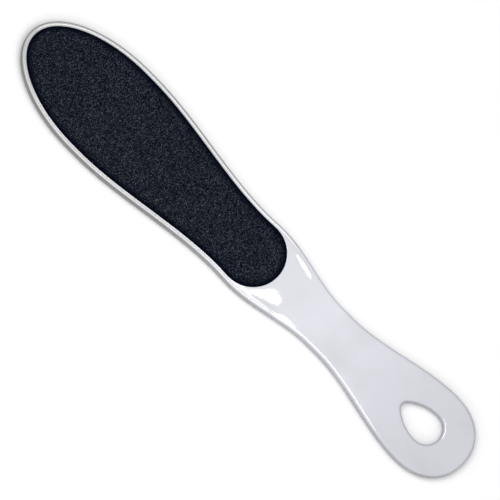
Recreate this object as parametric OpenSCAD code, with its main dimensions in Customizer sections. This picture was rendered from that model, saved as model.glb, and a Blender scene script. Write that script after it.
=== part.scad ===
// Foot file: a flat paddle moulded in two halves that meet at mid-thickness, with an abrasive pad
// set in a shallow seat in each face of the head, and a teardrop hole for hanging it up.
// The head's tip points to -X and the hanging end to +X. The paddle lies on its back rim at z = 0.

/* [Paddle] */
// Length from the head's tip to the end of the handle
total_len = 260; // [235:1:300]
// Thickness over the two rims
body_t = 5.6; // [5.2:0.1:9]
// Radius of the rounded outer edge
edge_r = 0.9; // [0.4:0.1:1.1]
// Size of the fine bevel on each half where the two meet
seam_bevel = 0.15; // [0.05:0.05:0.3]

/* [Outline] */
// Length of the rounded cap at the head's tip
head_cap_len = 47; // [38:1:56]
// Length of the straight widest stretch of the head
head_flat_len = 4; // [1:1:12]
// Greatest width of the head
head_w = 48.7; // [42:0.1:62]
// Distance from the tip to the waist behind the head
waist_x = 126; // [110:1:131]
// Width at the waist
waist_w = 33.5; // [30:0.1:40]
// Distance from the tip to the shoulder beside the pad's round end
shoulder_x = 136; // [133:1:142]
// Width at the shoulder
shoulder_w = 34.1; // [31:0.1:41]
// Distance from the tip to the start of the neck
neck_x = 177; // [165:1:186]
// Length of the narrow straight neck
neck_len = 6; // [2:1:14]
// Width of the neck
neck_w = 22.3; // [18:0.1:28]
// Length of the rounded cap at the handle's end
tail_cap_len = 22; // [16:1:28]
// Greatest width of the handle's end
tail_w = 38.6; // [34:0.1:46]

/* [Face] */
// How far the handle's face lies below the head's rim
neck_step = 0.6; // [0:0.05:0.8]
// How far the handle's face falls from its middle to its edge
crown_drop = 0.3; // [0:0.05:0.6]
// Length over which the flat head turns into the crowned handle
crown_len = 14; // [12:1:30]

/* [Pad seats] */
// Width of the rim round each pad seat
rim_w = 2.35; // [2:0.05:3.5]
// Width of the bevel inside the rim
bevel_w = 0.45; // [0.2:0.05:0.7]
// Height of the bevel inside the rim
bevel_h = 0.3; // [0.1:0.05:0.5]
// Distance from the tip to where the pad's round end begins
pad_arc_x = 133.1; // [128:0.1:138]
// Gap between a pad's edge and the wall of its seat
pad_gap = 0.15; // [0.05:0.05:0.4]
// How far a pad's surface lies below the rim
pad_sink = 0.1; // [0:0.05:0.3]

/* [Pad layers] */
// Thickness of the adhesive film under a pad
adhesive_t = 0.15; // [0.1:0.05:0.3]
// Thickness of a pad's backing cloth
backing_t = 0.3; // [0.2:0.05:0.4]
// Thickness of the coarse grit coat on the front
coarse_grit_t = 0.45; // [0.3:0.05:0.6]
// Thickness of the fine grit coat on the back
fine_grit_t = 0.35; // [0.2:0.05:0.5]

/* [Hanging hole] */
// Length of the teardrop hole
hole_len = 21.5; // [18:0.5:26]
// Width of the hole at its large end
hole_w = 14.4; // [10:0.2:18]
// Radius of the hole's small end
hole_small_r = 2.9; // [2:0.1:4]
// Radius of the hole's bowed sides
hole_side_r = 20; // [17:1:40]
// Distance from the hole's large end to the end of the handle
hole_end_gap = 14.9; // [11:0.1:18]
// Radius of the hole's rounded lip
lip_r = 0.8; // [0.3:0.1:1.1]

/* [Inside] */
// Width of the wall where the two halves meet
side_wall_w = 2.6; // [2:0.1:3.5]
// Thickness of the plate under a pad seat
seat_floor_t = 1; // [0.8:0.05:1.1]
// Thickness of the handle's face plate at its edge
face_floor_t = 0.9; // [0.7:0.05:1.1]
// Thickness of the stiffening ribs
rib_t = 1.2; // [0.8:0.1:2]
// Distance between the cross ribs
rib_pitch = 21; // [14:1:32]
// Width of the sleeve wall round the hanging hole
sleeve_w = 2; // [1.2:0.1:3]
// Diameter of the posts that carry the locating pins and sockets
post_d = 6.4; // [5:0.1:8]
// Diameter of the locating pins
pin_d = 3; // [2:0.1:3.6]
// How far a locating pin stands out of the front half
pin_h = 0.9; // [0.5:0.05:1]
// Gap round a locating pin in its socket
pin_gap = 0.08; // [0.05:0.01:0.2]
// Gap past the end of a locating pin
pin_end_gap = 0.15; // [0.1:0.05:0.3]

/* [Hidden] */

// Places of the locating pins along the paddle, from the tip
pin_x_shares = [0.115, 0.33, 0.52, 0.7];
// How much fuller than an ellipse the handle's end is
tail_fullness_share = 0.1;

cap_steps = 14;
flank_steps = 46;
pad_flank_steps = 20;
arc_steps = 16;
edge_steps = 3;
crown_steps = 6;
round_fn = 48;

half_t = body_t / 2;
overrun = body_t / 4;
tail_x = total_len - tail_cap_len;

// The outline between the two caps, as distances from the tip with half widths
flank_knots = [
    [head_cap_len, head_w / 2],
    [head_cap_len + head_flat_len, head_w / 2],
    [waist_x, waist_w / 2],
    [shoulder_x, shoulder_w / 2],
    [neck_x, neck_w / 2],
    [neck_x + neck_len, neck_w / 2],
    [tail_x, tail_w / 2]
];

pad_arc_r = flank_half(pad_arc_x);
crown_start_x = pad_arc_x + pad_arc_r;
coarse_seat_depth = adhesive_t + backing_t + coarse_grit_t + pad_sink;
fine_seat_depth = adhesive_t + backing_t + fine_grit_t + pad_sink;
handle_hollow_h = half_t - neck_step - crown_drop - face_floor_t;

hole_big_r = hole_w / 2;
hole_small_x = total_len - hole_end_gap - hole_len + hole_small_r;
hole_span = hole_len - hole_small_r - hole_big_r;

// Eases from 0 to 1
function ease(u) = let (v = max(0, min(1, u))) v * v * (3 - 2 * v);

// The stretch of the flank that holds x
function flank_part(x) =
    max([0, for (k = [0 : len(flank_knots) - 2]) if (x >= flank_knots[k].x) k]);

function flank_half(x) =
    let (k = flank_part(x), a = flank_knots[k], b = flank_knots[k + 1])
    a.y + (b.y - a.y) * ease((x - a.x) / (b.x - a.x));

function flank_slope(x) =
    let (k = flank_part(x), a = flank_knots[k], b = flank_knots[k + 1],
         u = (x - a.x) / (b.x - a.x))
    6 * u * (1 - u) * (b.y - a.y) / (b.x - a.x);

// One side of an outline is a list of [x, y, nx, ny]: a point and its outward direction
function side_point(x, y, dx, dy) = let (d = norm([dx, dy])) [x, y, dx / d, dy / d];

head_side = [
    for (i = [0 : cap_steps]) let (a = 90 * i / cap_steps)
    side_point(head_cap_len * (1 - cos(a)), head_w / 2 * sin(a),
               -head_w / 2 * cos(a), head_cap_len * sin(a))
];

function flank_side(x0, x1, steps) = [
    for (i = [1 : steps]) let (x = x0 + (x1 - x0) * i / steps)
    side_point(x, flank_half(x), -flank_slope(x), 1)
];

tail_side = [
    for (i = [1 : cap_steps])
    let (a = 90 * i / cap_steps, full = 1 + tail_fullness_share * pow(sin(a), 2))
    side_point(tail_x + tail_cap_len * sin(a), tail_w / 2 * cos(a) * full,
               tail_w / 2 * sin(a) * (full - 2 * tail_fullness_share * pow(cos(a), 2)),
               tail_cap_len * cos(a))
];

function arc_side(x, y, r, a0, a1, steps) = [
    for (i = [1 : steps]) let (a = a0 + (a1 - a0) * i / steps)
    [x + r * cos(a), y + r * sin(a), cos(a), sin(a)]
];

body_side = concat(head_side, flank_side(head_cap_len, tail_x, flank_steps), tail_side);

pad_side = concat(head_side, flank_side(head_cap_len, pad_arc_x, pad_flank_steps),
                  arc_side(pad_arc_x, 0, pad_arc_r, 90, 0, arc_steps));

// The teardrop: a small and a large arc, joined by bowed sides that touch both
side_dx = (pow(hole_span, 2) + pow(hole_side_r - hole_small_r, 2) - pow(hole_side_r - hole_big_r, 2))
          / (2 * hole_span);
side_dy = -sqrt(pow(hole_side_r - hole_small_r, 2) - pow(side_dx, 2));
small_turn = atan2(-side_dy, -side_dx);
big_turn = atan2(-side_dy, hole_span - side_dx);
hole_side = concat(
    [[hole_small_x - hole_small_r, 0, -1, 0]],
    arc_side(hole_small_x, 0, hole_small_r, 180, small_turn, arc_steps / 2),
    arc_side(hole_small_x + side_dx, side_dy, hole_side_r, small_turn, big_turn, arc_steps / 2),
    arc_side(hole_small_x + hole_span, 0, hole_big_r, big_turn, 0, arc_steps)
);

// A closed outline set in by d, counterclockwise from above
function outline(side, d) =
    let (n = len(side) - 1)
    concat([for (i = [0 : n]) [side[i][0] - d * side[i][2], -side[i][1] + d * side[i][3]]],
           [for (i = [n - 1 : -1 : 1]) [side[i][0] - d * side[i][2], side[i][1] - d * side[i][3]]]);

function ring(side, d, z) = [for (p = outline(side, d)) [p.x, p.y, z]];

// The faces between rings of m points each, the first ring lowest
function wall_faces(count, m) = [
    for (k = [0 : count - 2]) for (i = [0 : m - 1])
    let (a = k * m + i, b = k * m + (i + 1) % m)
    each [[a, a + m, b + m], [a, b + m, b]]
];

// The flat face inside a ring of m points, in strips across the paddle, as seen from below
function cap_faces(first, m) = [
    for (i = [0 : m / 2 - 1])
    let (a = first + i, b = a + 1, c = first + m - i - 1, d = first + (m - i) % m)
    each concat(b == c ? [] : [[a, b, c]], a == d ? [] : [[a, c, d]])
];

function turned(faces) = [for (f = faces) [f[2], f[1], f[0]]];

// Joins rings of equally many points into a closed solid, the first ring lowest
module loft(rings) {
    m = len(rings[0]);
    floor_faces = cap_faces(0, m);
    roof_faces = turned(cap_faces((len(rings) - 1) * m, m));
    polyhedron([for (r = rings) each r], concat(floor_faces, wall_faces(len(rings), m), roof_faces));
}

// How far the flat head has turned into the handle at x
function handle_share(x) = ease((x - crown_start_x) / crown_len);

// Height of the face above mid-thickness, at the share f of the way from the middle to the edge
function face_z(x, f) =
    let (cap = x > tail_x ? 1 - pow((x - tail_x) / tail_cap_len, 2) : 1)
    half_t - handle_share(x) * (neck_step + crown_drop * (1 - (1 - pow(f, 4)) * max(0, cap)));

// One half of the paddle, solid, from mid-thickness up to its face
module solid_half() {
    n = len(body_side) - 1;
    m = 2 * n;
    edge_rings = [
        for (k = [0 : edge_steps]) let (a = 90 * k / edge_steps)
        [for (p = outline(body_side, edge_r * (1 - cos(a))))
            [p.x, p.y, face_z(p.x, 1) - edge_r * (1 - sin(a))]]
    ];
    rings = concat([ring(body_side, seam_bevel, 0), ring(body_side, 0, seam_bevel)], edge_rings);
    last = (len(rings) - 1) * m;
    rows = outline(body_side, edge_r);
    inner = [
        for (i = [1 : n - 1]) for (j = [1 : crown_steps - 1])
        let (f = 2 * j / crown_steps - 1)
        [rows[i].x, -rows[i].y * f, face_z(rows[i].x, abs(f))]
    ];
    inner_start = last + m;
    function at(i, j) =
        i == 0 ? last
        : i == n ? last + n
        : j == 0 ? last + i
        : j == crown_steps ? last + m - i
        : inner_start + (i - 1) * (crown_steps - 1) + j - 1;
    face = [
        for (i = [0 : n - 1]) for (j = [0 : crown_steps - 1])
        let (a = at(i, j), b = at(i, j + 1), c = at(i + 1, j + 1), d = at(i + 1, j))
        each concat(a == b ? [] : [[a, b, c]], c == d ? [] : [[a, c, d]])
    ];
    polyhedron(concat([for (r = rings) each r], inner),
               concat(cap_faces(0, m), wall_faces(len(rings), m), face));
}

// What is cut from a face to seat a pad, with the bevel inside the rim
module seat_cut(depth) {
    loft([
        ring(pad_side, rim_w, half_t - depth),
        ring(pad_side, rim_w, half_t - bevel_h),
        ring(pad_side, rim_w - 2 * bevel_w, half_t + bevel_h)
    ]);
}

// What is cut for the hanging hole, with its rounded lip
module hole_cut() {
    lip_z = face_z(hole_small_x + hole_span, 0);
    lip_rings = [
        for (k = [0 : edge_steps]) let (a = 90 * k / edge_steps)
        ring(hole_side, -lip_r * (1 - cos(a)), lip_z - lip_r * (1 - sin(a)))
    ];
    loft(concat([ring(hole_side, 0, -overrun)], lip_rings,
                [ring(hole_side, -lip_r, half_t + overrun)]));
}

// A hollow inside one half between two distances from the tip, less its ribs, sleeve and posts
module hollow(x0, x1, h) {
    cells = max(1, round((x1 - x0) / rib_pitch));
    pitch = (x1 - x0) / cells;
    difference() {
        intersection() {
            translate([0, 0, -overrun])
                linear_extrude(h + overrun) polygon(outline(body_side, side_wall_w));
            translate([x0, -head_w, -body_t]) cube([x1 - x0, 2 * head_w, 2 * body_t]);
        }
        for (k = [1 : 1 : cells - 1])
            translate([x0 + k * pitch - rib_t / 2, -head_w, -body_t])
                cube([rib_t, 2 * head_w, 2 * body_t]);
        translate([0, -rib_t / 2, -body_t]) cube([total_len, rib_t, 2 * body_t]);
        translate([0, 0, -body_t]) linear_extrude(2 * body_t) polygon(outline(hole_side, -sleeve_w));
        for (share = pin_x_shares)
            translate([share * total_len, 0, -body_t])
                cylinder(d = post_d, h = 2 * body_t, $fn = round_fn);
    }
}

// One moulded half of the paddle, face up
module half_shell(seat_depth) {
    difference() {
        solid_half();
        seat_cut(seat_depth);
        hole_cut();
        hollow(0, crown_start_x, half_t - seat_depth - seat_floor_t);
        hollow(crown_start_x + rib_t, total_len, handle_hollow_h);
    }
}

// Puts what is built face up, from mid-thickness, in its place in the front of the paddle
module front_half() {
    translate([-total_len / 2, 0, half_t]) children();
}

// The same for the back of the paddle, face down
module back_half() {
    translate([-total_len / 2, 0, half_t]) mirror([0, 0, 1]) children();
}

// One layer of a pad, with its underside at the height z above mid-thickness
module pad_layer(z, t) {
    translate([0, 0, z]) linear_extrude(t) polygon(outline(pad_side, rim_w + pad_gap));
}

module front_shell() {
    pin_top = half_t - coarse_seat_depth - seat_floor_t / 2;
    color([0.9, 0.9, 0.93]) front_half() union() {
        half_shell(coarse_seat_depth);
        for (share = pin_x_shares)
            translate([share * total_len, 0, -pin_h])
                cylinder(d = pin_d, h = pin_h + pin_top, $fn = round_fn);
    }
}

module back_shell() {
    color([0.86, 0.86, 0.9]) back_half() difference() {
        half_shell(fine_seat_depth);
        for (share = pin_x_shares)
            translate([share * total_len, 0, -overrun])
                cylinder(d = pin_d + 2 * pin_gap, h = overrun + pin_h + pin_end_gap, $fn = round_fn);
    }
}

module coarse_adhesive() {
    color([0.85, 0.8, 0.62]) front_half() pad_layer(half_t - coarse_seat_depth, adhesive_t);
}

module coarse_backing() {
    color([0.25, 0.25, 0.28]) front_half() pad_layer(half_t - coarse_seat_depth + adhesive_t, backing_t);
}

module coarse_grit() {
    color([0.11, 0.12, 0.15]) front_half() pad_layer(half_t - pad_sink - coarse_grit_t, coarse_grit_t);
}

module fine_adhesive() {
    color([0.85, 0.8, 0.62]) back_half() pad_layer(half_t - fine_seat_depth, adhesive_t);
}

module fine_backing() {
    color([0.25, 0.25, 0.28]) back_half() pad_layer(half_t - fine_seat_depth + adhesive_t, backing_t);
}

module fine_grit() {
    color([0.15, 0.16, 0.19]) back_half() pad_layer(half_t - pad_sink - fine_grit_t, fine_grit_t);
}

front_shell();
back_shell();
coarse_adhesive();
coarse_backing();
coarse_grit();
fine_adhesive();
fine_backing();
fine_grit();
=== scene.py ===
"""Foot file: two glossy moulded halves, two die-cut grit pads and a plain white stage.

The packed part is loaded as a fixed frame. The moulded halves and the grit coats are modelled anew
round it, and the cloth and the adhesive under each pad keep their own meshes and get a finish.
"""

import math

import bmesh
import bpy
from bpy.props import FloatProperty, FloatVectorProperty, PointerProperty
from mathutils import Matrix, Vector
from mathutils.geometry import interpolate_bezier
from mathutils.kdtree import KDTree


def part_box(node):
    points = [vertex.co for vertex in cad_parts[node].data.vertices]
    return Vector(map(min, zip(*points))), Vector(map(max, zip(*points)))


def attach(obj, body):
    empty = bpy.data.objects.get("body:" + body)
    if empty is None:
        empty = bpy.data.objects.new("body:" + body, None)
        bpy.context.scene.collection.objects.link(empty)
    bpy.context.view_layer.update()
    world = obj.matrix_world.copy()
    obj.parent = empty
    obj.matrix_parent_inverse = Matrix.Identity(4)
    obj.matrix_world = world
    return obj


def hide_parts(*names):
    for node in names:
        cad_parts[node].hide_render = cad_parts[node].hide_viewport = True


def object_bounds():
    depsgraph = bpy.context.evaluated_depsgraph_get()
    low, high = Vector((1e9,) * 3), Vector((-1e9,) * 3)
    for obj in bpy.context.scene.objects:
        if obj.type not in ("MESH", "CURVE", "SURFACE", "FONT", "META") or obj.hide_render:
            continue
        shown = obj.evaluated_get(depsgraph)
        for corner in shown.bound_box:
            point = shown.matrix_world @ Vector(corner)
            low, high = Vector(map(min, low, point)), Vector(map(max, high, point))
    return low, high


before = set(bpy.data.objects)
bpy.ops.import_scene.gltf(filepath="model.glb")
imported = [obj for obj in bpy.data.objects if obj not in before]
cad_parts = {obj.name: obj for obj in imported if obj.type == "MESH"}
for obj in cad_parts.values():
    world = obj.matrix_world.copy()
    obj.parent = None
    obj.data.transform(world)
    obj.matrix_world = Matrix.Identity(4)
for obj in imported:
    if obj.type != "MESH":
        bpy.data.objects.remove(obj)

bl_info = {
    "name": "Foot file",
    "version": (1, 0, 0),
    "blender": (4, 5, 0),
    "location": "3D View > Sidebar > Foot file",
    "description": "Moulded paddle with a grit pad on each face, and the stage it lies on",
    "category": "Object",
}

BODY = "root"

# What the frame fixes: the halves meet where the back one ends, and each pad has its own box
CAD_LOW, CAD_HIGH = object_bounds()
MID_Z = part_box("back_shell")[1].z
COARSE_LOW, COARSE_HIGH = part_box("coarse_grit")
FINE_LOW, FINE_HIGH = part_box("fine_grit")

# Handle length of a curve that stands for a quarter of a circle with radius 1
QUARTER_HANDLE = 4 / 3 * math.tan(math.pi / 8)
# Reach of a cut past the surface that it leaves
OVERRUN = 0.002
# What counts as the same height, and how upright the normal of a level face is at least
SAME_HEIGHT = 1e-6
LEVEL_NORMAL = 0.999

# Points in each stretch of a curve: an outline, the hole, and what distances are measured to
OUTLINE_STEPS = 32
HOLE_STEPS = 16
MEASURE_STEPS = 600
# Steps of a quarter round: the body's edge, the seat's lip and the hole's lip
EDGE_STEPS = 6
SEAT_LIP_STEPS = 4
HOLE_LIP_STEPS = 10
# Rings that follow the edge on the rim and further in, and parts of the handle along and across
RIM_RINGS = 14
INNER_RINGS = 5
PARTS_ALONG = 130
PARTS_ACROSS = 40
# The sharpest bend that is shaded smooth, and how much the larger faces count there
SMOOTH_ANGLE = math.radians(35)
LARGE_FACE_WEIGHT = 80
# Contrast of the grit's relief
GRAIN_CONTRAST = 1.4

# Places along X between which the painted shade over the head fades out, and the painted shade at
# the handle's end sets in
HEAD_SHADE_FADE = (-0.040, 0.045)
END_SHADE_FADE = (0.020, 0.11)
# Noise between which the clouding sets in, and its full share on the handle
CLOUD_NOISE = (0.45, 0.7)
CLOUD_SHARE = 0.25
# Painted light: how much lighter an upright wall is, and how far its normal may point up or down
WALL_LIGHT = 1.35
WALL_LEVEL = (0.02, 0.2)
# How soon a slope gets its painted shade, and that painted shade on the handle
SLOPE_POWER = 3.0
HANDLE_EDGE_SHADE = 0.85
# How rare the light grains and the glossy ones are
LIGHT_GRAIN_POWER = 6.0
GLOSSY_GRAIN_POWER = 4.0
# Noise between which the grains clump, and how dark and light the clumps are
CLUMP_NOISE = (0.3, 0.7)
CLUMP_LIGHT = (0.95, 1.05)
# Lowest and highest roughness
GRAIN_ROUGHNESS = (0.55, 0.9)
CLOTH_ROUGHNESS = (0.5, 0.85)
FILM_ROUGHNESS = (0.2, 0.5)

# How far the room's two sides are turned, and where one light goes over into the other
ROOM_TURN = 0.5
SIDE_FADE = (-0.6, 0.6)
OVERHEAD_FADE = (0.75, 0.95)
HORIZON_FADE = (0.15, 0.70)


def length_property(name, description, default):
    return FloatProperty(name=name, description=description, default=default, min=0.0,
                         precision=5, unit="LENGTH")


def colour_property(name, description, default):
    return FloatVectorProperty(name=name, description=description, default=default, size=3,
                               min=0.0, max=1.0, subtype="COLOR")


class PaddleSizes(bpy.types.PropertyGroup):
    """Sizes of the moulded paddle, with places measured from the head's tip"""

    length: length_property("Length", "From the head's tip to the end of the handle",
                            CAD_HIGH.x - CAD_LOW.x)
    head_width: length_property("Head width", "Greatest width of the head", CAD_HIGH.y - CAD_LOW.y)
    head_cap: length_property("Head cap", "Length of the rounded cap at the tip", 0.047)
    head_flat: length_property("Head flat", "Length of the widest stretch of the head", 0.004)
    head_handle: FloatProperty(name="Head fullness", description="Curve handle across the tip, as a "
                               "share of its half width: a larger one is fuller", default=0.57)
    waist_place: length_property("Waist place", "Where the waist behind the head is", 0.126)
    waist_width: length_property("Waist width", "Width at the waist", 0.0335)
    shoulder_place: length_property("Shoulder place", "Where the shoulder is", 0.136)
    shoulder_width: length_property("Shoulder width", "Width at the shoulder", 0.0341)
    neck_place: length_property("Neck place", "Where the neck starts", 0.177)
    neck_length: length_property("Neck length", "Length of the narrow neck", 0.006)
    neck_width: length_property("Neck width", "Width of the neck", 0.0223)
    tail_cap: length_property("Tail cap", "Length of the rounded cap at the handle's end", 0.022)
    tail_width: length_property("Tail width", "Greatest width of the handle's end", 0.0386)
    tail_handle: FloatProperty(name="Tail fullness", description="Curve handle across the end, as a "
                               "share of its half width: a larger one is fuller", default=0.647)
    edge_radius: length_property("Edge radius", "Radius of the outer edge", 0.0008)
    seam_bevel: length_property("Seam bevel", "Bevel on each half where the two meet", 0.00015)
    pad_arc_place: length_property("Pad arc place", "Where the pad's round end begins", 0.1331)
    rim_width: length_property("Rim width", "Width of the rim round the pad seat", 0.00215)
    lip_width: length_property("Seat lip width", "Width of the rounded lip of the seat", 0.00015)
    outer_ridge: length_property("Outer ridge", "From the edge to the rim's outer ridge", 0.0011)
    groove_place: length_property("Groove", "From the edge to the groove between the ridges", 0.0016)
    groove_depth: length_property("Groove depth", "Depth of that groove", 0.00006)
    ridge_radius: length_property("Ridge radius", "Radius of the outer ridge's outside", 0.0036)
    ring_width: length_property("Ring width", "Level ring between the seat and the slope", 0.0012)
    step: length_property("Neck step", "How far the handle's face lies below the rim", 0.0006)
    step_length: length_property("Step length", "Length of the slope round the pad's end", 0.0095)
    bead_width: length_property("Bead width", "From the neck's edge to where its dip begins", 0.0022)
    bead_slope: length_property("Bead slope", "Width of the slope from the bead to the dip", 0.0021)
    bead_start: length_property("Bead start", "Where the bead along the edge starts to fade", 0.151)
    bead_end: length_property("Bead end", "Where the bead along the edge has faded out", 0.161)
    fall_width: length_property("Edge fall", "Width over which the face falls to its edge", 0.00165)
    fall_radius: length_property("Edge fall radius", "Radius of that fall", 0.0030)
    swell_start: length_property("Swell start", "Where the fall starts to widen to the neck", 0.130)
    swell_end: length_property("Swell end", "Where the fall is narrow again", 0.172)
    swell_width: length_property("Swell fall", "Width of the fall where it is widest", 0.0037)
    swell_radius: length_property("Swell fall radius", "Radius of the widest fall", 0.0175)


class HoleSizes(bpy.types.PropertyGroup):
    """Sizes of the teardrop hanging hole"""

    length: length_property("Hole length", "Length of the hole", 0.0215)
    width: length_property("Hole width", "Width at the large end", 0.0144)
    small_radius: length_property("Small radius", "Radius of the small end", 0.0029)
    side_radius: length_property("Side radius", "Radius of the bowed sides", 0.020)
    end_gap: length_property("End gap", "From the hole to the end of the handle", 0.0149)
    lip_radius: length_property("Lip radius", "Radius of the hole's rounded lip", 0.0012)


class PadSizes(bpy.types.PropertyGroup):
    """Sizes of the grit coats"""

    gap: length_property("Gap", "Between the pad's edge and its seat", 0.0001)
    mesh_pitch: length_property("Mesh pitch", "Distance between the points of the relief", 0.0003)
    coarse_grain: length_property("Coarse grain", "Size of a coarse grain", 0.0003)
    coarse_relief: length_property("Coarse relief", "Depth between coarse grains", 0.00008)
    fine_grain: length_property("Fine grain", "Size of a fine grain", 0.0003)
    fine_relief: length_property("Fine relief", "Depth between fine grains", 0.00006)
    # Painted shade: the band along the pad's cut edge where the grains' light colour and gloss fade
    # out
    edge_shade_width: length_property("Bare edge", "Width of the cut edge that has lost its grains",
                                0.0035)


class FinishColours(bpy.types.PropertyGroup):
    """Colours of the object"""

    plastic: colour_property("Plastic", "Moulded body", (0.76, 0.765, 0.835))
    # Its colour clouds the handle at random, and as painted shade it covers the head
    plastic_cloud_and_head_shade: colour_property("Plastic clouding", "Plainer shade that clouds the handle and "
                                   "covers the head", (0.50, 0.498, 0.51))
    grit_dark: colour_property("Grit, dark", "Resin between the grains", (0.0010, 0.0022, 0.0070))
    grit_light: colour_property("Grit, light", "Faces of the grains", (0.069, 0.079, 0.104))
    cloth: colour_property("Cloth", "Backing of the pads", (0.06, 0.06, 0.07))
    adhesive: colour_property("Adhesive", "Film under the pads", (0.80, 0.76, 0.62))


class StageSettings(bpy.types.PropertyGroup):
    """Camera, lamps and floor"""

    view_elevation: FloatProperty(name="View elevation", description="Height of the camera over the "
                                  "horizon", default=math.radians(78), subtype="ANGLE")
    view_roll: FloatProperty(name="View roll", description="Turn of the tool in the picture",
                             default=math.radians(45.09), subtype="ANGLE")
    view_width: length_property("View width", "Width of the picture at the object", 0.2126)
    view_distance: length_property("View distance", "From the camera to the object", 2.4)
    aim: FloatVectorProperty(name="Aim", description="Point at the middle of the picture",
                             default=(0.00155, 0.00054, 0.0028), size=3, precision=5,
                             subtype="XYZ_LENGTH")
    floor_size: length_property("Floor size", "Side of the floor", 8.0)
    floor_colour: colour_property("Floor", "Plain floor", (0.98, 0.98, 0.98))
    floor_bounce: colour_property("Floor bounce", "Light that the floor sends back to the object",
                                  (0.55, 0.55, 0.55))
    floor_lift: colour_property("Floor lift", "What the floor shows in the picture over its colour",
                                (0.05, 0.05, 0.05))
    softbox_place: FloatVectorProperty(name="Softbox place", description="Middle of the softbox",
                                       default=(-0.0325, -0.008, 0.35), size=3, subtype="XYZ_LENGTH")
    softbox_length: length_property("Softbox length", "Along the tool", 0.255)
    softbox_width: length_property("Softbox width", "Across the tool", 0.128)
    softbox_power: FloatProperty(name="Softbox power", description="Power of the softbox",
                                 default=0.44, subtype="POWER")
    sky_strength: FloatProperty(name="Room light", description="Strength of the light of the room",
                                default=1.06)
    sky_high: colour_property("Light from above", "Room colour overhead", (1.0, 1.0, 1.0))
    sky_near: colour_property("Light from the front", "Room colour half way up on the camera's side",
                              (1.0, 1.0, 1.0))
    sky_far: colour_property("Light from behind", "Room colour half way up on the far side",
                             (0.40, 0.40, 0.40))
    sky_low: colour_property("Light from the side", "Room colour at the horizon", (0.30, 0.30, 0.30))


def active():
    return bpy.context.object


def edit(mode="FACE"):
    bpy.ops.object.mode_set(mode="EDIT")
    bpy.ops.mesh.select_mode(type=mode)


def finish_edit():
    bpy.ops.object.mode_set(mode="OBJECT")


def only(piece):
    """Makes piece the one selected object"""
    bpy.ops.object.select_all(action="DESELECT")
    piece.select_set(True)
    bpy.context.view_layer.objects.active = piece


def select_faces(test):
    """Selects the faces of the piece in edit mode that pass test"""
    mesh = bmesh.from_edit_mesh(active().data)
    for face in mesh.faces:
        face.select_set(test(face))
    mesh.select_flush_mode()
    bmesh.update_edit_mesh(active().data)


def level_at(z):
    """A test for faces that lie level at the height z"""
    return lambda face: (abs(face.normal.z) > LEVEL_NORMAL
                         and abs(face.calc_center_median().z - z) < SAME_HEIGHT)


def lift(distance):
    """Extrudes the selected face straight up or down"""
    bpy.ops.mesh.extrude_region_move(TRANSFORM_OT_translate={"value": (0, 0, distance)})


def apply_modifier(kind, **values):
    """Adds a modifier to the active piece, sets it and applies it"""
    bpy.ops.object.modifier_add(type=kind)
    modifier = active().modifiers[-1]
    for name, value in values.items():
        setattr(modifier, name, value)
    bpy.ops.object.modifier_apply(modifier=modifier.name)


def combine(piece, tool, operation):
    """Cuts piece with tool, or keeps what the two share, and removes the tool"""
    only(piece)
    apply_modifier("BOOLEAN", operation=operation, object=tool, solver="EXACT")
    bpy.data.objects.remove(tool)


def knots_along(places, first_handle, last_handle):
    """Knots of a flank that is level at each (place, half width), as (handle, point, handle)"""
    knots = []
    for i, (x, y) in enumerate(places):
        back = (x - places[i - 1][0]) / 3 if i else first_handle
        ahead = (places[i + 1][0] - x) / 3 if i + 1 < len(places) else last_handle
        knots.append(((x - back, y), (x, y), (x + ahead, y)))
    return knots


def knots_round(start, side, end):
    """The knots of a closed outline: its start and end on the middle line, and one side twice"""
    other = [tuple((x, -y) for x, y in reversed(knot)) for knot in reversed(side)]
    return [start, *side, end, *other]


def middle_knot(x, handle):
    return (x, -handle), (x, 0), (x, handle)


def head_places(paddle):
    """Each (place, half width) of the flank from the head's cap to the waist"""
    return [
        (paddle.head_cap, paddle.head_width / 2),
        (paddle.head_cap + paddle.head_flat, paddle.head_width / 2),
        (paddle.waist_place, paddle.waist_width / 2),
    ]


def body_knots(paddle):
    tail_place = paddle.length - paddle.tail_cap
    places = [
        *head_places(paddle),
        (paddle.shoulder_place, paddle.shoulder_width / 2),
        (paddle.neck_place, paddle.neck_width / 2),
        (paddle.neck_place + paddle.neck_length, paddle.neck_width / 2),
        (tail_place, paddle.tail_width / 2),
    ]
    side = knots_along(places, QUARTER_HANDLE * paddle.head_cap, QUARTER_HANDLE * paddle.tail_cap)
    start = middle_knot(0, paddle.head_handle * paddle.head_width / 2)
    end = middle_knot(paddle.length, -paddle.tail_handle * paddle.tail_width / 2)
    return knots_round(start, side, end)


def half_width(paddle, x):
    """Half the paddle's width at a place between its two caps, as its flank curves have it"""
    points = [knot[1] for knot in body_knots(paddle) if knot[1][1] > 0]
    for (x0, y0), (x1, y1) in zip(points, points[1:]):
        if x <= x1:
            return y0 + (y1 - y0) * ease((x - x0) / (x1 - x0))
    return points[-1][1]


def ease(u):
    u = min(1.0, max(0.0, u))
    return u * u * (3 - 2 * u)


def ramp(u, bend=0.2):
    """A straight slope from 0 to 1 with a soft bend at each end"""
    u = min(1.0, max(0.0, u))
    near = min(u, 1 - u)
    rise = near ** 2 / (2 * bend) if near < bend else near - bend / 2
    rise /= 1 - bend
    return rise if u < 0.5 else 1 - rise


def pad_arc_radius(paddle):
    return half_width(paddle, paddle.pad_arc_place)


def pad_knots(paddle):
    """The head's outline, closed by the round end of the pad"""
    radius = pad_arc_radius(paddle)
    places = [*head_places(paddle), (paddle.pad_arc_place, radius)]
    side = knots_along(places, QUARTER_HANDLE * paddle.head_cap, QUARTER_HANDLE * radius)
    start = middle_knot(0, paddle.head_handle * paddle.head_width / 2)
    end = middle_knot(paddle.pad_arc_place + radius, -QUARTER_HANDLE * radius)
    return knots_round(start, side, end)


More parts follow.
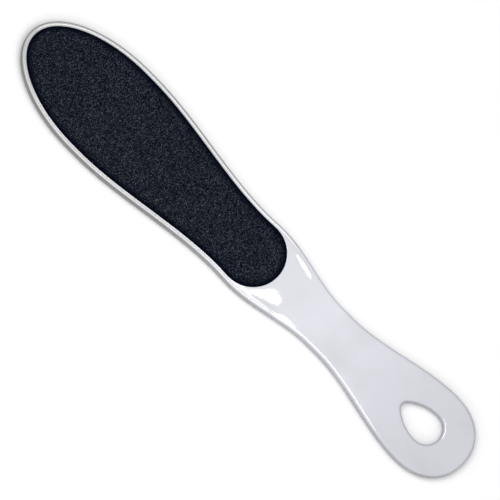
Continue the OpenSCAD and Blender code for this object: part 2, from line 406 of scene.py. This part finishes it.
def hole_knots(paddle, hole, spread):
    """The teardrop of four arcs, spread outwards by a distance"""
    big, small, bow = hole.width / 2, hole.small_radius, hole.side_radius
    small_x = paddle.length - hole.end_gap - hole.length + small
    span = hole.length - small - big
    bow_x = (span ** 2 + (bow - small) ** 2 - (bow - big) ** 2) / (2 * span)
    bow_y = -math.sqrt((bow - small) ** 2 - bow_x ** 2)
    small_turn = math.atan2(-bow_y, -bow_x)
    big_turn = math.atan2(-bow_y, span - bow_x)
    arcs = [
        (small_x, 0, small + spread, math.pi, small_turn),
        (small_x + bow_x, bow_y, bow + spread, small_turn, big_turn),
        (small_x + span, 0, big + spread, big_turn, 0),
    ]
    handles = [4 / 3 * math.tan((a0 - a1) / 4) * r for _, _, r, a0, a1 in arcs]
    side = []
    for (x, y, r, turn, _), back, ahead in zip(arcs[1:], handles, handles[1:]):
        point = Vector((x + r * math.cos(turn), y + r * math.sin(turn)))
        along = Vector((math.sin(turn), -math.cos(turn)))
        side.append((tuple(point - back * along), tuple(point), tuple(point + ahead * along)))
    start = middle_knot(small_x - small - spread, handles[0])
    end = middle_knot(small_x + span + big + spread, -handles[-1])
    return knots_round(start, side, end)


def outline_face(name, paddle, knots, z, steps):
    """One flat face at the height z inside the closed curve through the knots, left in edit mode"""
    bpy.ops.object.select_all(action="DESELECT")
    bpy.ops.curve.primitive_bezier_circle_add()
    curve = active()
    curve.name = name
    curve.data.resolution_u = steps
    points = curve.data.splines[0].bezier_points
    points.add(len(knots) - len(points))
    for point, knot in zip(points, knots):
        point.handle_left_type = point.handle_right_type = "FREE"
        left, middle, right = [(x - paddle.length / 2, y, z) for x, y in knot]
        point.handle_left, point.co, point.handle_right = left, middle, right
    bpy.ops.object.convert(target="MESH")
    edit("VERT")
    bpy.ops.mesh.select_all(action="SELECT")
    bpy.ops.mesh.edge_face_add()
    bpy.ops.mesh.select_mode(type="FACE")
    return active()


def raise_block(height):
    """Extrudes the one face of a new outline to a closed block, with its normals outwards"""
    bpy.ops.mesh.select_all(action="SELECT")
    lift(height)
    bpy.ops.mesh.select_all(action="SELECT")
    bpy.ops.mesh.normals_make_consistent(inside=False)


def quarter_turns(steps):
    """The turns at which each step of a quarter round starts and ends"""
    turns = [math.pi / 2 * k / steps for k in range(steps + 1)]
    return zip(turns, turns[1:])


def round_inwards(width, depth, steps):
    """Insets the selected face in steps that follow a quarter round, moving it along its normal"""
    for a, b in quarter_turns(steps):
        bpy.ops.mesh.inset(thickness=width * (math.cos(a) - math.cos(b)),
                           depth=depth * (math.sin(b) - math.sin(a)))


def hollow_inwards(width, depth, steps):
    """The same for a quarter round that starts level, as the mouth of a cut"""
    for a, b in quarter_turns(steps):
        bpy.ops.mesh.inset(thickness=width * (math.sin(b) - math.sin(a)),
                           depth=depth * (math.cos(a) - math.cos(b)))


def pad_block(name, paddle, margin, z, height):
    """A block from z by a height, a margin inside the pad's outline, left in edit mode"""
    block = outline_face(name, paddle, pad_knots(paddle), z, OUTLINE_STEPS)
    bpy.ops.mesh.inset(thickness=margin)
    bpy.ops.mesh.select_all(action="INVERT")
    bpy.ops.mesh.delete(type="FACE")
    raise_block(height)
    return block


def seat_cutter(paddle, top, floor):
    """The block that cuts a pad's seat, with the rounded lip at its mouth"""
    mouth = paddle.rim_width - paddle.lip_width
    cutter = pad_block("seat_cutter", paddle, mouth, top + OVERRUN, -OVERRUN)
    select_faces(level_at(top))
    hollow_inwards(paddle.lip_width, paddle.lip_width, SEAT_LIP_STEPS)
    lift(floor - (top - paddle.lip_width))
    finish_edit()
    return cutter


def hole_cutter(paddle, hole, top):
    """The block that cuts the hanging hole, with the rounded lip at its mouth"""
    knots = hole_knots(paddle, hole, hole.lip_radius)
    cutter = outline_face("hole_cutter", paddle, knots, top + OVERRUN, HOLE_STEPS)
    raise_block(-OVERRUN)
    select_faces(level_at(top))
    hollow_inwards(hole.lip_radius, hole.lip_radius, HOLE_LIP_STEPS)
    lift(MID_Z - OVERRUN - (top - hole.lip_radius))
    finish_edit()
    return cutter


def rule_face(z, places, along):
    """Cuts the level face at z across at each place, so that it can bend there"""
    for place in places:
        select_faces(level_at(z))
        bpy.ops.mesh.bisect(plane_co=along * place, plane_no=along)


def face_drop(paddle, x, y, inwards):
    """How far the face lies below the rim, x from the tip, y from the middle, inwards of the edge"""
    faded = ease((x - paddle.bead_start) / (paddle.bead_end - paddle.bead_start))
    risen = ease((x - paddle.swell_start) / (paddle.bead_start - paddle.swell_start))
    sunk = ease((x - paddle.bead_start) / (paddle.swell_end - paddle.bead_start))
    swell = risen * (1 - sunk)
    narrow = max(0.0, paddle.fall_width - inwards) ** 2 / (2 * paddle.fall_radius)
    wide = max(0.0, paddle.swell_width - inwards) ** 2 / (2 * paddle.swell_radius)
    fall = (narrow * faded + (wide - narrow * faded) * swell
            + (1 - faded) * ridge_drop(paddle, inwards))
    if x < paddle.pad_arc_place:
        return fall
    ring = pad_arc_radius(paddle) - paddle.rim_width + paddle.ring_width
    beyond = math.hypot(x - paddle.pad_arc_place, y) - ring
    dipped = ease((inwards - paddle.bead_width) / paddle.bead_slope)
    return fall + paddle.step * ramp(beyond / paddle.step_length) * (dipped + (1 - dipped) * faded)


def ridge_drop(paddle, inwards):
    """How far the rim lies below its two ridges: outside them, and in the groove between them"""
    inner = paddle.rim_width - paddle.lip_width
    if inwards < paddle.outer_ridge:
        return (paddle.outer_ridge - inwards) ** 2 / (2 * paddle.ridge_radius)
    outside = ease((inwards - paddle.outer_ridge) / (paddle.groove_place - paddle.outer_ridge))
    inside = ease((inner - inwards) / (inner - paddle.groove_place))
    return paddle.groove_depth * min(outside, inside)


def outline_points(knots, steps):
    """Points along the closed curve through the knots"""
    points = []
    for (_, start, leave), (arrive, end, _) in zip(knots, knots[1:] + knots[:1]):
        points += interpolate_bezier(*(Vector((*p, 0)) for p in (start, leave, arrive, end)), steps)
    return points


def outline_tree(paddle, knots):
    """A search tree of points along an outline, which gives the distance to it"""
    points = outline_points(knots, MEASURE_STEPS)
    tree = KDTree(len(points))
    for i, point in enumerate(points):
        tree.insert(point - Vector((paddle.length / 2, 0, 0)), i)
    tree.balance()
    return tree


def sink_face(piece, paddle, top):
    """Lets the face fall to its shape, with the edge and the wall below it"""
    foot = MID_Z + paddle.seam_bevel
    edge = outline_tree(paddle, body_knots(paddle))
    for vertex in piece.data.vertices:
        x, y, z = vertex.co
        share = min(1.0, max(0.0, (z - foot) / (top - paddle.edge_radius - foot)))
        drop = face_drop(paddle, x + paddle.length / 2, y, edge.find((x, y, 0))[2])
        vertex.co.z -= share * drop


def moulded_half(paddle, hole, top, seat_floor):
    """The front half of the paddle, from the seam up to its face"""
    foot = MID_Z + paddle.seam_bevel
    half = outline_face("front_half", paddle, body_knots(paddle), foot, OUTLINE_STEPS)
    raise_block(top - paddle.edge_radius - foot)
    select_faces(level_at(top - paddle.edge_radius))
    round_inwards(paddle.edge_radius, paddle.edge_radius, EDGE_STEPS)
    inner = paddle.rim_width - paddle.lip_width
    for rings, width in ((RIM_RINGS, inner - paddle.edge_radius),
                         (INNER_RINGS, paddle.swell_width - inner)):
        for _ in range(rings):
            bpy.ops.mesh.inset(thickness=width / rings)
    select_faces(level_at(foot))
    bpy.ops.mesh.inset(thickness=paddle.seam_bevel, depth=paddle.seam_bevel)
    shaped = paddle.length - paddle.pad_arc_place
    start = paddle.pad_arc_place - paddle.length / 2
    rule_face(top, [start + shaped * k / PARTS_ALONG for k in range(1, PARTS_ALONG)],
              Vector((1, 0, 0)))
    rule_face(top, [paddle.tail_width * (k / PARTS_ACROSS - 0.5) for k in range(1, PARTS_ACROSS)],
              Vector((0, 1, 0)))
    finish_edit()
    combine(half, seat_cutter(paddle, top, seat_floor), "DIFFERENCE")
    combine(half, hole_cutter(paddle, hole, top), "DIFFERENCE")
    sink_face(half, paddle, top)
    return half


def gloss_shading(piece):
    """Smooth shading that keeps the level faces level in reflections"""
    only(piece)
    bpy.ops.object.shade_smooth_by_angle(angle=SMOOTH_ANGLE)
    apply_modifier("WEIGHTED_NORMAL", keep_sharp=True, weight=LARGE_FACE_WEIGHT)


def turned_over(piece, name):
    """A copy of piece with its own mesh, mirrored at the seam"""
    only(piece)
    bpy.ops.object.duplicate()
    copy = active()
    copy.name = name
    edit()
    bpy.ops.mesh.select_all(action="SELECT")
    bpy.ops.transform.resize(value=(1, 1, -1), center_override=(0, 0, MID_Z))
    bpy.ops.mesh.normals_make_consistent(inside=False)
    finish_edit()
    return copy


def grit_texture(name, grain):
    texture = bpy.data.textures.new(name, "VORONOI")
    texture.noise_scale = grain
    texture.distance_metric = "DISTANCE"
    texture.noise_intensity = GRAIN_CONTRAST
    return texture


def pad_outline(paddle, pad, low, height):
    """The block inside a pad's cut edge"""
    block = pad_block("pad_outline", paddle, paddle.rim_width + pad.gap, low, height)
    finish_edit()
    return block


def grit_coat(name, paddle, pad, box, grain, relief):
    """A rough sheet of grit, die-cut to the pad's outline"""
    low, high = box
    size = high - low
    columns = round(size.x / pad.mesh_pitch)
    rows = round(size.y / pad.mesh_pitch)
    margin = 2 * pad.mesh_pitch
    bpy.ops.object.select_all(action="DESELECT")
    bpy.ops.mesh.primitive_grid_add(x_subdivisions=columns, y_subdivisions=rows, size=1)
    sheet = active()
    sheet.name = name
    edit()
    bpy.ops.mesh.select_all(action="SELECT")
    bpy.ops.transform.resize(value=(size.x + margin, size.y + margin, 1))
    bpy.ops.transform.translate(value=((low.x + high.x) / 2, (low.y + high.y) / 2, high.z))
    finish_edit()
    apply_modifier("DISPLACE", texture=grit_texture(name + "_grain", grain), texture_coords="LOCAL",
                   direction="Z", strength=-relief, mid_level=0.0)
    edit("EDGE")
    bpy.ops.mesh.select_all(action="DESELECT")
    bpy.ops.mesh.select_non_manifold()
    bpy.ops.mesh.extrude_region_move(TRANSFORM_OT_translate={"value": (0, 0, -size.z - OVERRUN)})
    bpy.ops.mesh.edge_face_add()
    bpy.ops.mesh.select_all(action="SELECT")
    bpy.ops.mesh.normals_make_consistent(inside=False)
    finish_edit()
    combine(sheet, pad_outline(paddle, pad, low.z, size.z + OVERRUN), "INTERSECT")
    mark_edge_shade(sheet, paddle, pad)
    return sheet


def mark_edge_shade(sheet, paddle, pad):
    """Writes how far inside the cut edge each point lies, 0 to 1, for the painted shade at the edge
    """
    rim = outline_tree(paddle, pad_knots(paddle))
    inside = sheet.data.attributes.new("inside", "FLOAT", "POINT")
    for vertex, value in zip(sheet.data.vertices, inside.data):
        distance = rim.find((vertex.co.x, vertex.co.y, 0))[2] - paddle.rim_width - pad.gap
        value.value = ease(distance / pad.edge_shade_width)


def new_material(name):
    """An empty material with its output, as (material, node tree, output)"""
    material = bpy.data.materials.new(name)
    material.use_nodes = True
    tree = material.node_tree
    tree.nodes.clear()
    return material, tree, tree.nodes.new("ShaderNodeOutputMaterial")


def add_node(tree, kind, **inputs):
    """A node with values set on the inputs that are named with underscores for spaces"""
    node = tree.nodes.new(kind)
    for name, value in inputs.items():
        node.inputs[name.replace("_", " ")].default_value = value
    return node


def new_group(name, inputs, outputs):
    """An empty node group with named sockets, as (group, inner inputs, inner outputs)"""
    group = bpy.data.node_groups.new(name, "ShaderNodeTree")
    for socket, kind in inputs.items():
        group.interface.new_socket(socket, in_out="INPUT", socket_type=kind)
    for socket, kind in outputs.items():
        group.interface.new_socket(socket, in_out="OUTPUT", socket_type=kind)
    return group, group.nodes.new("NodeGroupInput"), group.nodes.new("NodeGroupOutput")


def place_group(tree, group, **inputs):
    node = tree.nodes.new("ShaderNodeGroup")
    node.node_tree = group
    for name, value in inputs.items():
        node.inputs[name.replace("_", " ")].default_value = value
    return node


def calculate(tree, operation, *values):
    """The result of a Math node whose inputs are numbers or sockets"""
    node = tree.nodes.new("ShaderNodeMath")
    node.operation = operation
    for socket, value in zip(node.inputs, values):
        if isinstance(value, bpy.types.NodeSocket):
            tree.links.new(value, socket)
        else:
            socket.default_value = value
    return node.outputs[0]


def mix_colours(tree, share, first, second):
    """The mix of two colour sockets"""
    node = tree.nodes.new("ShaderNodeMix")
    node.data_type = "RGBA"
    tree.links.new(share, node.inputs["Factor"])
    tree.links.new(first, node.inputs[6])
    tree.links.new(second, node.inputs[7])
    return node.outputs[2]


def plain_colour(tree, colour):
    """A socket that gives one colour"""
    node = tree.nodes.new("ShaderNodeRGB")
    node.outputs[0].default_value = rgba(colour)
    return node.outputs[0]


def mapped(tree, value, low, high, start=0.0, end=1.0):
    """The value moved from the range start to end to the range low to high"""
    node = add_node(tree, "ShaderNodeMapRange", From_Min=start, From_Max=end)
    tree.links.new(value, node.inputs["Value"])
    for socket, given in (("To Min", low), ("To Max", high)):
        if isinstance(given, bpy.types.NodeSocket):
            tree.links.new(given, node.inputs[socket])
        else:
            node.inputs[socket].default_value = given
    return node.outputs["Result"]


def pattern_of(tree, kind, size, **inputs):
    """A texture on Object coordinates whose patches have the size that a socket gives"""
    texture = add_node(tree, kind, **inputs)
    place = tree.nodes.new("ShaderNodeTexCoord").outputs["Object"]
    tree.links.new(place, texture.inputs["Vector"])
    tree.links.new(calculate(tree, "DIVIDE", 1.0, size), texture.inputs["Scale"])
    return texture


def moulded_skin_and_shade():
    """Clouding, smudges and faint ripples of moulded gloss, with painted shade over the head, on
    the slopes and towards the handle's end, and painted light on the upright walls"""
    group, given, made = new_group(
        "moulded_skin_and_shade",
        {"Colour": "NodeSocketColor", "Cloud Colour": "NodeSocketColor",
         "Cloud Size": "NodeSocketFloat", "Smudge Size": "NodeSocketFloat",
         "Ripple Size": "NodeSocketFloat", "Smooth": "NodeSocketFloat", "Smudged": "NodeSocketFloat",
         "Edge Shade": "NodeSocketFloat", "End Shade": "NodeSocketFloat"},
        {"Colour": "NodeSocketColor", "Roughness": "NodeSocketFloat", "Height": "NodeSocketFloat"})
    values, results = given.outputs, made.inputs
    cloud = pattern_of(group, "ShaderNodeTexNoise", values["Cloud Size"], Detail=2)
    split = group.nodes.new("ShaderNodeSeparateXYZ")
    group.links.new(group.nodes.new("ShaderNodeTexCoord").outputs["Object"], split.inputs[0])
    # Painted shade: the head takes the plainer cloud colour, which fades out towards the handle
    head = mapped(group, split.outputs["X"], 1.0, 0.0, *HEAD_SHADE_FADE)
    clouds = mapped(group, cloud.outputs["Fac"], 0.0, CLOUD_SHARE, *CLOUD_NOISE)
    clouding_with_head_shade = calculate(group, "MAXIMUM", clouds, head)
    colour = mix_colours(group, clouding_with_head_shade, values["Colour"], values["Cloud Colour"])
    normal = group.nodes.new("ShaderNodeSeparateXYZ")
    group.links.new(group.nodes.new("ShaderNodeTexCoord").outputs["Normal"], normal.inputs[0])
    level = calculate(group, "ABSOLUTE", normal.outputs["Z"])
    # Painted light on the upright walls, and painted shade on the slopes, strongest on the head
    wall = mapped(group, level, WALL_LIGHT, 1.0, *WALL_LEVEL)
    flat = calculate(group, "POWER", level, SLOPE_POWER)
    edge = mapped(group, head, HANDLE_EDGE_SHADE, values["Edge Shade"])
    slope_shade_and_wall_light = calculate(group, "MULTIPLY", mapped(group, flat, edge, 1.0), wall)
    # Painted shade: darker towards the end of the handle
    end = mapped(group, split.outputs["X"], 1.0, values["End Shade"], *END_SHADE_FADE)
    shade = group.nodes.new("ShaderNodeVectorMath")
    shade.operation = "SCALE"
    group.links.new(colour, shade.inputs[0])
    group.links.new(calculate(group, "MULTIPLY", slope_shade_and_wall_light, end), shade.inputs["Scale"])
    smudge = pattern_of(group, "ShaderNodeTexNoise", values["Smudge Size"], Detail=4)
    rough = mapped(group, smudge.outputs["Fac"], values["Smooth"], values["Smudged"])
    ripple = pattern_of(group, "ShaderNodeTexNoise", values["Ripple Size"], Detail=1)
    group.links.new(shade.outputs[0], results["Colour"])
    group.links.new(rough, results["Roughness"])
    group.links.new(ripple.outputs["Fac"], results["Height"])
    return group


def grit_skin_and_edge_shade():
    """Dark grains in resin with their own shade and gloss, which fade out at the cut edge as painted
    shade
    """
    group, given, made = new_group(
        "grit_skin_and_edge_shade",
        {"Resin": "NodeSocketColor", "Grain": "NodeSocketColor", "Grain Size": "NodeSocketFloat",
         "Clump Size": "NodeSocketFloat", "Glint": "NodeSocketFloat", "Inside": "NodeSocketFloat"},
        {"Colour": "NodeSocketColor", "Roughness": "NodeSocketFloat", "Gloss": "NodeSocketFloat",
         "Height": "NodeSocketFloat"})
    values, results = given.outputs, made.inputs
    grains = pattern_of(group, "ShaderNodeTexVoronoi", values["Grain Size"])
    shades = group.nodes.new("ShaderNodeSeparateColor")
    group.links.new(grains.outputs["Color"], shades.inputs[0])
    clumps = pattern_of(group, "ShaderNodeTexNoise", values["Clump Size"], Detail=3)
    clumped = mapped(group, clumps.outputs["Fac"], *CLUMP_LIGHT, *CLUMP_NOISE)
    light = calculate(group, "POWER", shades.outputs[0], LIGHT_GRAIN_POWER)
    # Painted shade: the light grains, and below also their gloss, fade out towards the cut edge
    light = calculate(group, "MULTIPLY", calculate(group, "MULTIPLY", light, clumped),
                      values["Inside"])
    colour = mix_colours(group, light, values["Resin"], values["Grain"])
    glossy = calculate(group, "POWER", shades.outputs[1], GLOSSY_GRAIN_POWER)
    glossy = calculate(group, "MULTIPLY", glossy, values["Glint"])
    glossy = calculate(group, "MULTIPLY", calculate(group, "MULTIPLY", glossy, clumped),
                       values["Inside"])
    group.links.new(colour, results["Colour"])
    group.links.new(mapped(group, shades.outputs[2], *GRAIN_ROUGHNESS), results["Roughness"])
    group.links.new(glossy, results["Gloss"])
    group.links.new(grains.outputs["Distance"], results["Height"])
    return group


def woven_cloth():
    """Threads that cross over and under each other, soaked with resin"""
    group, given, made = new_group(
        "woven_cloth",
        {"Thread": "NodeSocketColor", "Gap": "NodeSocketColor", "Pitch": "NodeSocketFloat"},
        {"Colour": "NodeSocketColor", "Roughness": "NodeSocketFloat", "Height": "NodeSocketFloat"})
    values, results = given.outputs, made.inputs
    place = group.nodes.new("ShaderNodeTexCoord").outputs["Object"]
    split = group.nodes.new("ShaderNodeSeparateXYZ")
    group.links.new(place, split.inputs[0])
    turns = [calculate(group, "DIVIDE", calculate(group, "MULTIPLY", split.outputs[axis], math.pi),
                       values["Pitch"]) for axis in ("X", "Y")]
    waves = [calculate(group, "SINE", turn) for turn in turns]
    rounds = [calculate(group, "ABSOLUTE", wave) for wave in waves]
    over = calculate(group, "GREATER_THAN", calculate(group, "MULTIPLY", *waves), 0.0)
    under = calculate(group, "SUBTRACT", 1.0, over)
    height = calculate(group, "ADD", calculate(group, "MULTIPLY", rounds[0], over),
                       calculate(group, "MULTIPLY", rounds[1], under))
    group.links.new(mix_colours(group, height, values["Gap"], values["Thread"]), results["Colour"])
    group.links.new(mapped(group, height, *CLOTH_ROUGHNESS), results["Roughness"])
    group.links.new(height, results["Height"])
    return group


def tacky_film():
    """A thin film of adhesive with drawn-out streaks and small bubbles"""
    group, given, made = new_group(
        "tacky_film",
        {"Colour": "NodeSocketColor", "Streak Colour": "NodeSocketColor",
         "Streak Size": "NodeSocketFloat", "Bubble Size": "NodeSocketFloat"},
        {"Colour": "NodeSocketColor", "Roughness": "NodeSocketFloat", "Height": "NodeSocketFloat"})
    values, results = given.outputs, made.inputs
    streaks = pattern_of(group, "ShaderNodeTexNoise", values["Streak Size"], Detail=5,
                         Distortion=1.5)
    bubbles = pattern_of(group, "ShaderNodeTexVoronoi", values["Bubble Size"])
    colour = mix_colours(group, streaks.outputs["Fac"], values["Colour"], values["Streak Colour"])
    group.links.new(colour, results["Colour"])
    rough = mapped(group, streaks.outputs["Fac"], *FILM_ROUGHNESS)
    group.links.new(rough, results["Roughness"])
    group.links.new(bubbles.outputs["Distance"], results["Height"])
    return group


def wear_skin(tree, skin, shader, output, depth, strength):
    """Links a skin's colour, roughness and height to the shader, and the shader to the output"""
    tree.links.new(skin.outputs["Colour"], shader.inputs["Base Color"])
    tree.links.new(skin.outputs["Roughness"], shader.inputs["Roughness"])
    bump = add_node(tree, "ShaderNodeBump", Strength=strength, Distance=depth)
    tree.links.new(skin.outputs["Height"], bump.inputs["Height"])
    tree.links.new(bump.outputs["Normal"], shader.inputs["Normal"])
    tree.links.new(shader.outputs[0], output.inputs["Surface"])


def rgba(colour):
    return (*colour, 1.0)


def gloss_plastic(colours):
    material, tree, output = new_material("gloss_plastic")
    # The cloud colour over the head, Edge Shade and End Shade are painted shade
    skin = place_group(tree, moulded_skin_and_shade(), Colour=rgba(colours.plastic),
                       Cloud_Colour=rgba(colours.plastic_cloud_and_head_shade), Cloud_Size=0.018,
                       Smudge_Size=0.012, Ripple_Size=0.009, Smooth=0.03, Smudged=0.09,
                       Edge_Shade=0.30, End_Shade=0.80)
    shader = add_node(tree, "ShaderNodeBsdfPrincipled", IOR=1.6, Coat_Weight=1.0,
                      Coat_Roughness=0.05, Coat_IOR=1.5)
    wear_skin(tree, skin, shader, output, depth=0.00008, strength=0.25)
    return material


def grit_material(name, group, colours, grain, glint):
    material, tree, output = new_material(name)
    skin = place_group(tree, group, Resin=rgba(colours.grit_dark), Grain=rgba(colours.grit_light),
                       Grain_Size=grain, Clump_Size=0.003, Glint=glint)
    # The point attribute inside sets the painted shade along the pad's cut edge
    inside = tree.nodes.new("ShaderNodeAttribute")
    inside.attribute_name = "inside"
    tree.links.new(inside.outputs["Fac"], skin.inputs["Inside"])
    shader = add_node(tree, "ShaderNodeBsdfPrincipled", IOR=1.5, Coat_Roughness=0.35, Coat_IOR=1.6)
    shader.inputs["Specular IOR Level"].default_value = 0.0
    tree.links.new(skin.outputs["Gloss"], shader.inputs["Coat Weight"])
    wear_skin(tree, skin, shader, output, depth=0.0001, strength=0.5)
    return material


def layer_material(name, skin_group, depth, **values):
    """A plain finish of one skin group, for the layers under the grit"""
    material, tree, output = new_material(name)
    skin = place_group(tree, skin_group, **values)
    shader = add_node(tree, "ShaderNodeBsdfPrincipled", IOR=1.5)
    wear_skin(tree, skin, shader, output, depth, strength=0.6)
    return material


def shaded(colour, share):
    return rgba([value * share for value in colour])


def set_material(piece, material):
    piece.data.materials.clear()
    piece.data.materials.append(material)


class FOOTFILE_OT_halves(bpy.types.Operator):
    """Models the two moulded halves of the paddle"""

    bl_idname = "footfile.halves"
    bl_label = "Moulded halves"

    def execute(self, context):
        scene = context.scene
        paddle, hole, colours = scene.paddle_sizes, scene.hole_sizes, scene.finish_colours
        seat_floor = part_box("coarse_adhesive")[0].z
        front = moulded_half(paddle, hole, CAD_HIGH.z, seat_floor)
        back = turned_over(front, "back_half")
        plastic = gloss_plastic(colours)
        for piece, node in ((front, "front_shell"), (back, "back_shell")):
            gloss_shading(piece)
            set_material(piece, plastic)
            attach(piece, BODY)
            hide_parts(node)
        return {"FINISHED"}


class FOOTFILE_OT_stage(bpy.types.Operator):
    """Lays the floor and sets the lamps and the camera"""

    bl_idname = "footfile.stage"
    bl_label = "Stage"

    def execute(self, context):
        stage = context.scene.stage_settings
        lay_floor(stage)
        set_world(stage)
        set_lamps(stage)
        set_camera(stage)
        context.scene.view_settings.view_transform = "Standard"
        return {"FINISHED"}


def lay_floor(stage):
    bpy.ops.object.select_all(action="DESELECT")
    bpy.ops.mesh.primitive_plane_add(size=stage.floor_size)
    floor = active()
    floor.name = "floor"
    material, tree, output = new_material("plain_floor")
    plain, lift, bounce = [add_node(tree, "ShaderNodeBsdfDiffuse", Color=rgba(colour))
                           for colour in (stage.floor_colour, stage.floor_lift, stage.floor_bounce)]
    both = tree.nodes.new("ShaderNodeAddShader")
    tree.links.new(plain.outputs[0], both.inputs[0])
    tree.links.new(lift.outputs[0], both.inputs[1])
    path = tree.nodes.new("ShaderNodeLightPath")
    mix = tree.nodes.new("ShaderNodeMixShader")
    tree.links.new(path.outputs["Is Camera Ray"], mix.inputs["Fac"])
    tree.links.new(bounce.outputs[0], mix.inputs[1])
    tree.links.new(both.outputs[0], mix.inputs[2])
    tree.links.new(mix.outputs[0], output.inputs["Surface"])
    set_material(floor, material)


def set_world(stage):
    world = bpy.data.worlds.new("soft_room")
    bpy.context.scene.world = world
    world.use_nodes = True
    tree = world.node_tree
    tree.nodes.clear()
    place = tree.nodes.new("ShaderNodeTexCoord")
    split = tree.nodes.new("ShaderNodeSeparateXYZ")
    tree.links.new(place.outputs["Generated"], split.inputs[0])
    low, near, far, high = [plain_colour(tree, colour) for colour in
                            (stage.sky_low, stage.sky_near, stage.sky_far, stage.sky_high)]
    across = calculate(tree, "SUBTRACT", split.outputs["Y"],
                       calculate(tree, "MULTIPLY", split.outputs["X"], ROOM_TURN))
    side = mix_colours(tree, mapped(tree, across, 0.0, 1.0, *SIDE_FADE), near, far)
    upper = mapped(tree, split.outputs["Z"], 0.0, 1.0, *OVERHEAD_FADE)
    sky = mix_colours(tree, upper, side, high)
    lower = mapped(tree, split.outputs["Z"], 0.0, 1.0, *HORIZON_FADE)
    sky = mix_colours(tree, lower, low, sky)
    background = add_node(tree, "ShaderNodeBackground", Strength=stage.sky_strength)
    tree.links.new(sky, background.inputs["Color"])
    output = tree.nodes.new("ShaderNodeOutputWorld")
    tree.links.new(background.outputs[0], output.inputs["Surface"])


def set_lamps(stage):
    bpy.ops.object.light_add(type="AREA", location=stage.softbox_place)
    lamp = active()
    lamp.name = "softbox"
    lamp.data.shape = "RECTANGLE"
    lamp.data.size = stage.softbox_length
    lamp.data.size_y = stage.softbox_width
    lamp.data.energy = stage.softbox_power
    lamp.visible_camera = False


def set_camera(stage):
    """A long lens that looks down on the object, turned so that the tool lies across the picture"""
    high, turn = stage.view_elevation, stage.view_roll
    back = Vector((0, -math.cos(high), math.sin(high)))
    level = Vector((0, math.sin(high), math.cos(high)))
    along = Vector((1, 0, 0))
    right = math.cos(turn) * along + math.sin(turn) * level
    up = -math.sin(turn) * along + math.cos(turn) * level
    bpy.ops.object.camera_add()
    camera = active()
    camera.name = "picture_camera"
    place = Matrix.Translation(Vector(stage.aim) + stage.view_distance * back)
    camera.matrix_world = place @ Matrix((right, up, back)).transposed().to_4x4()
    camera.data.lens = camera.data.sensor_width * stage.view_distance / stage.view_width
    camera.data.clip_end = stage.floor_size * 2
    bpy.context.scene.camera = camera


class FOOTFILE_OT_pads(bpy.types.Operator):
    """Models the coarse and the fine grit coat"""

    bl_idname = "footfile.pads"
    bl_label = "Grit pads"

    def execute(self, context):
        scene = context.scene
        paddle, pad, colours = scene.paddle_sizes, scene.pad_sizes, scene.finish_colours
        skin = grit_skin_and_edge_shade()
        coarse = grit_coat("coarse_coat", paddle, pad, (COARSE_LOW, COARSE_HIGH), pad.coarse_grain,
                           pad.coarse_relief)
        upper = grit_coat("fine_coat_upper", paddle, pad, [mirrored(FINE_HIGH), mirrored(FINE_LOW)],
                          pad.fine_grain, pad.fine_relief)
        fine = turned_over(upper, "fine_coat")
        bpy.data.objects.remove(upper)
        for piece, grain, glint, node, slot in (
                (coarse, pad.coarse_grain, 0.25, "coarse_grit", "coarse_abrasive"),
                (fine, pad.fine_grain, 0.2, "fine_grit", "fine_abrasive")):
            set_material(piece, grit_material(slot, skin, colours, grain, glint))
            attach(piece, BODY)
            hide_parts(node)
        return {"FINISHED"}


def mirrored(corner):
    """The height of a corner turned over at the seam, with its place kept"""
    return Vector((corner.x, corner.y, 2 * MID_Z - corner.z))


class FOOTFILE_OT_layers(bpy.types.Operator):
    """Gives the cloth and the adhesive under each pad their finish"""

    bl_idname = "footfile.layers"
    bl_label = "Pad layers"

    def execute(self, context):
        colours = context.scene.finish_colours
        cloth = layer_material("resin_cloth", woven_cloth(), depth=0.0001,
                               Thread=rgba(colours.cloth), Pitch=0.0005,
                               Gap=shaded(colours.cloth, share=0.3))
        film = layer_material("adhesive_film", tacky_film(), depth=0.00003,
                              Colour=rgba(colours.adhesive), Streak_Size=0.006, Bubble_Size=0.0009,
                              Streak_Colour=shaded(colours.adhesive, share=0.8))
        for side in ("coarse", "fine"):
            for layer, material in (("backing", cloth), ("adhesive", film)):
                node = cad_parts[side + "_" + layer]
                if not node.material_slots:
                    node.data.materials.append(material)
                for place in node.material_slots:
                    place.material = material
        return {"FINISHED"}


class FOOTFILE_PT_sidebar(bpy.types.Panel):
    """Sizes, finishes and steps of the foot file"""

    bl_idname = "FOOTFILE_PT_sidebar"
    bl_label = "Foot file"
    bl_space_type = "VIEW_3D"
    bl_region_type = "UI"
    bl_category = "Foot file"

    def draw(self, context):
        for name, kind in SETTINGS.items():
            box = self.layout.box()
            box.label(text=kind.__doc__)
            settings = getattr(context.scene, name)
            for key in kind.__annotations__:
                box.prop(settings, key)
        for kind in OPERATORS:
            self.layout.operator(kind.bl_idname)


SETTINGS = {"paddle_sizes": PaddleSizes, "hole_sizes": HoleSizes, "pad_sizes": PadSizes,
            "finish_colours": FinishColours, "stage_settings": StageSettings}
OPERATORS = (FOOTFILE_OT_stage, FOOTFILE_OT_halves, FOOTFILE_OT_pads, FOOTFILE_OT_layers)
CLASSES = (*SETTINGS.values(), *OPERATORS, FOOTFILE_PT_sidebar)


def register():
    for kind in CLASSES:
        bpy.utils.register_class(kind)
    for name, kind in SETTINGS.items():
        setattr(bpy.types.Scene, name, PointerProperty(type=kind))


def unregister():
    for name in SETTINGS:
        delattr(bpy.types.Scene, name)
    for kind in reversed(CLASSES):
        bpy.utils.unregister_class(kind)


def main():
    register()
    bpy.ops.footfile.stage()
    bpy.ops.footfile.halves()
    bpy.ops.footfile.pads()
    bpy.ops.footfile.layers()


if __name__ == "__main__":
    main()
